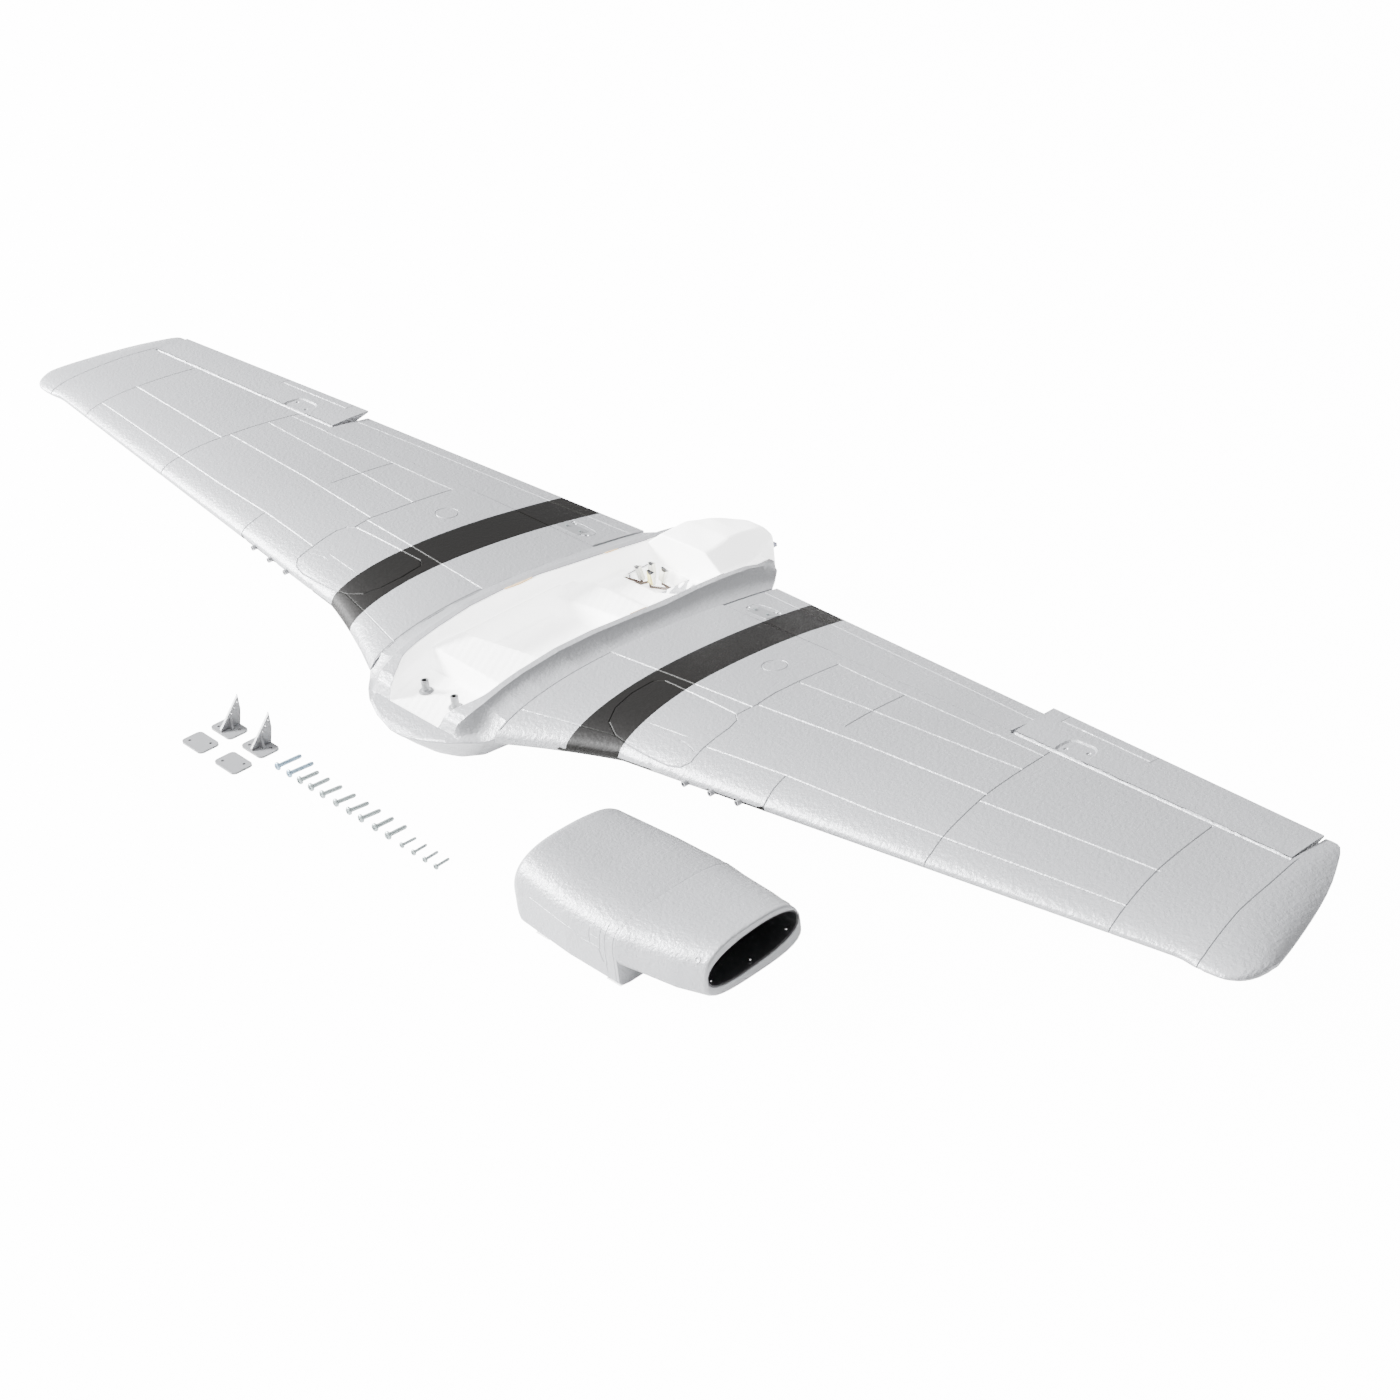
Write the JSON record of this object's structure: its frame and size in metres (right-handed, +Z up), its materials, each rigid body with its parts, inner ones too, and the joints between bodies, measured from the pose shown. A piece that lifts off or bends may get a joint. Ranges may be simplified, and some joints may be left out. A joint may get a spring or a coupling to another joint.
{
  "type": "model aircraft wing set",
  "caption": "Painted foam wing of a low-wing model aeroplane with moving flaps and ailerons, laid out with its loose belly scoop, control horns, back plates and screws.",
  "frame": {"origin": "midway between the tops of the two front wing-bolt posts, which is where the fuselage saddle seats", "axes": "+X along the span towards the pilot's left tip, +Y aft towards the trailing edge, +Z up; the wing is level with its root chord and symmetric about x = 0"},
  "size_m": [1.2084, 0.4033, 0.0941],
  "materials": {
    "grey_foam_paint": "satin silver-grey paint over foam beads",
    "white_foam": "bare moulded foam inside, grey paint outside",
    "plywood": "thin light plywood",
    "magnet": "nickel-plated disc",
    "blue_grey_plastic": "moulded plastic",
    "hinge_nylon": "natural nylon",
    "steel_wire": "drawn wire",
    "carbon_tube": "pultruded carbon",
    "post_plastic": "ribbed moulding",
    "black_plastic": "fine moulded grain",
    "arm_nylon": "white nylon",
    "grey_plastic": "satin moulding",
    "zinc_steel": "bright zinc plate",
    "lead_wire": "soft insulation"
  },
  "bodies": {
    "wing": {"center_section": "white_foam", "wing_panel_left": "grey_foam_paint", "wing_panel_right": "grey_foam_paint", "trough_ply_doublers": "plywood", "scoop_magnets_wing": "magnet", "tail_tongue": "blue_grey_plastic", "flap_hinges_left": "hinge_nylon", "flap_hinges_right": "hinge_nylon", "aileron_hinges_left": "hinge_nylon", "aileron_hinges_right": "hinge_nylon", "flap_hinge_pin_left": "steel_wire", "flap_hinge_pin_right": "steel_wire", "aileron_hinge_pin_left": "steel_wire", "aileron_hinge_pin_right": "steel_wire", "main_spar_left": "carbon_tube", "main_spar_right": "carbon_tube", "wing_bolt_post_left": "post_plastic", "wing_bolt_post_right": "post_plastic", "flap_servo_left": "black_plastic", "flap_servo_right": "black_plastic", "aileron_servo_left": "black_plastic", "aileron_servo_right": "black_plastic", "gear_mount_left": "grey_plastic", "gear_mount_right": "grey_plastic", "gun_muzzles_left": "black_plastic", "gun_muzzles_right": "black_plastic", "servo_leads_left": "lead_wire", "servo_leads_right": "lead_wire", "servo_plugs_left": "black_plastic", "servo_plugs_right": "black_plastic"},
    "flap_left": {"flap_left": "grey_foam_paint", "flap_horn_left": "grey_plastic", "flap_horn_plate_left": "grey_plastic", "flap_horn_screws_left": "zinc_steel"},
    "aileron_left": {"aileron_left": "grey_foam_paint"},
    "flap_servo_arm_left": {"flap_servo_arm_left": "arm_nylon"},
    "aileron_servo_arm_left": {"aileron_servo_arm_left": "arm_nylon"},
    "flap_pushrod_left": {"flap_pushrod_left": "steel_wire", "flap_clevis_left": "grey_plastic"},
    "flap_right": {"flap_right": "grey_foam_paint", "flap_horn_right": "grey_plastic", "flap_horn_plate_right": "grey_plastic", "flap_horn_screws_right": "zinc_steel"},
    "aileron_right": {"aileron_right": "grey_foam_paint"},
    "flap_servo_arm_right": {"flap_servo_arm_right": "arm_nylon"},
    "aileron_servo_arm_right": {"aileron_servo_arm_right": "arm_nylon"},
    "flap_pushrod_right": {"flap_pushrod_right": "steel_wire", "flap_clevis_right": "grey_plastic"},
    "scoop": {"scoop_shell": "grey_foam_paint", "scoop_intake_liner": "black_plastic", "scoop_magnets": "magnet"},
    "control_horn_front": {"control_horn_front": "grey_plastic"},
    "control_horn_rear": {"control_horn_rear": "grey_plastic"},
    "horn_back_plate_front": {"horn_back_plate_front": "grey_plastic"},
    "horn_back_plate_rear": {"horn_back_plate_rear": "grey_plastic"},
    "screws_long": {"screws_long": "zinc_steel"},
    "screws_medium": {"screws_medium": "zinc_steel"},
    "screws_small": {"screws_small": "zinc_steel"}
  },
  "joints": [
    {"name": "flap_left_hinge", "type": "hinge", "parent": "wing", "child": "flap_left", "pos_m": [0.099, 0.18564, -0.00601], "axis": [-0.9909, 0.0897, -0.1], "range_deg": [0, 40]},
    {"name": "flap_right_hinge", "type": "hinge", "parent": "wing", "child": "flap_right", "pos_m": [-0.099, 0.18564, -0.00601], "axis": [-0.9909, -0.0897, 0.1], "range_deg": [0, 40]},
    {"name": "aileron_left_hinge", "type": "hinge", "parent": "wing", "child": "aileron_left", "pos_m": [0.393, 0.15955, 0.02606], "axis": [-0.9891, 0.1137, -0.0935], "range_deg": [-20, 20]},
    {"name": "aileron_right_hinge", "type": "hinge", "parent": "wing", "child": "aileron_right", "pos_m": [-0.393, 0.15955, 0.02606], "axis": [-0.9891, -0.1137, 0.0935], "range_deg": [-20, 20]},
    {"name": "flap_servo_left_shaft", "type": "hinge", "parent": "wing", "child": "flap_servo_arm_left", "pos_m": [0.09465, 0.13983, -0.00403], "axis": [-0.9909, 0.0897, -0.1], "range_deg": [0, 40]},
    {"name": "flap_servo_right_shaft", "type": "hinge", "parent": "wing", "child": "flap_servo_arm_right", "pos_m": [-0.09465, 0.13983, -0.00403], "axis": [-0.9909, -0.0897, 0.1], "range_deg": [0, 40]},
    {"name": "aileron_servo_left_shaft", "type": "hinge", "parent": "wing", "child": "aileron_servo_arm_left", "pos_m": [0.38808, 0.11584, 0.02499], "axis": [-0.9891, 0.1137, -0.0935], "range_deg": [-20, 20]},
    {"name": "aileron_servo_right_shaft", "type": "hinge", "parent": "wing", "child": "aileron_servo_arm_right", "pos_m": [-0.38808, 0.11584, 0.02499], "axis": [-0.9891, -0.1137, 0.0935], "range_deg": [-20, 20]},
    {"name": "flap_pushrod_left_bend", "type": "hinge", "parent": "flap_servo_arm_left", "child": "flap_pushrod_left", "pos_m": [0.09596, 0.13983, -0.01697], "axis": [-0.9909, 0.0897, -0.1], "range_deg": [-40, 0]},
    {"name": "flap_pushrod_right_bend", "type": "hinge", "parent": "flap_servo_arm_right", "child": "flap_pushrod_right", "pos_m": [-0.09596, 0.13983, -0.01697], "axis": [-0.9909, -0.0897, 0.1], "range_deg": [-40, 0]},
    {"name": "lift_scoop", "type": "slide", "parent": "wing", "child": "scoop", "axis": [0, 0, 1], "range_m": [0, 0.12]},
    {"name": "lift_control_horn_front", "type": "slide", "parent": "wing", "child": "control_horn_front", "axis": [0, 0, 1], "range_m": [0, 0.06]},
    {"name": "lift_control_horn_rear", "type": "slide", "parent": "wing", "child": "control_horn_rear", "axis": [0, 0, 1], "range_m": [0, 0.06]},
    {"name": "lift_horn_back_plate_front", "type": "slide", "parent": "wing", "child": "horn_back_plate_front", "axis": [0, 0, 1], "range_m": [0, 0.06]},
    {"name": "lift_horn_back_plate_rear", "type": "slide", "parent": "wing", "child": "horn_back_plate_rear", "axis": [0, 0, 1], "range_m": [0, 0.06]},
    {"name": "lift_screws_long", "type": "slide", "parent": "wing", "child": "screws_long", "axis": [0, 0, 1], "range_m": [0, 0.05]},
    {"name": "lift_screws_medium", "type": "slide", "parent": "wing", "child": "screws_medium", "axis": [0, 0, 1], "range_m": [0, 0.05]},
    {"name": "lift_screws_small", "type": "slide", "parent": "wing", "child": "screws_small", "axis": [0, 0, 1], "range_m": [0, 0.05]}
  ],
  "couplings": [
    {"joint": "flap_right_hinge", "follows": "flap_left_hinge", "ratio": 1},
    {"joint": "flap_servo_left_shaft", "follows": "flap_left_hinge", "ratio": 1},
    {"joint": "flap_servo_right_shaft", "follows": "flap_left_hinge", "ratio": 1},
    {"joint": "flap_pushrod_left_bend", "follows": "flap_left_hinge", "ratio": -1},
    {"joint": "flap_pushrod_right_bend", "follows": "flap_left_hinge", "ratio": -1},
    {"joint": "aileron_right_hinge", "follows": "aileron_left_hinge", "ratio": -1},
    {"joint": "aileron_servo_left_shaft", "follows": "aileron_left_hinge", "ratio": 1},
    {"joint": "aileron_servo_right_shaft", "follows": "aileron_left_hinge", "ratio": -1}
  ]
}
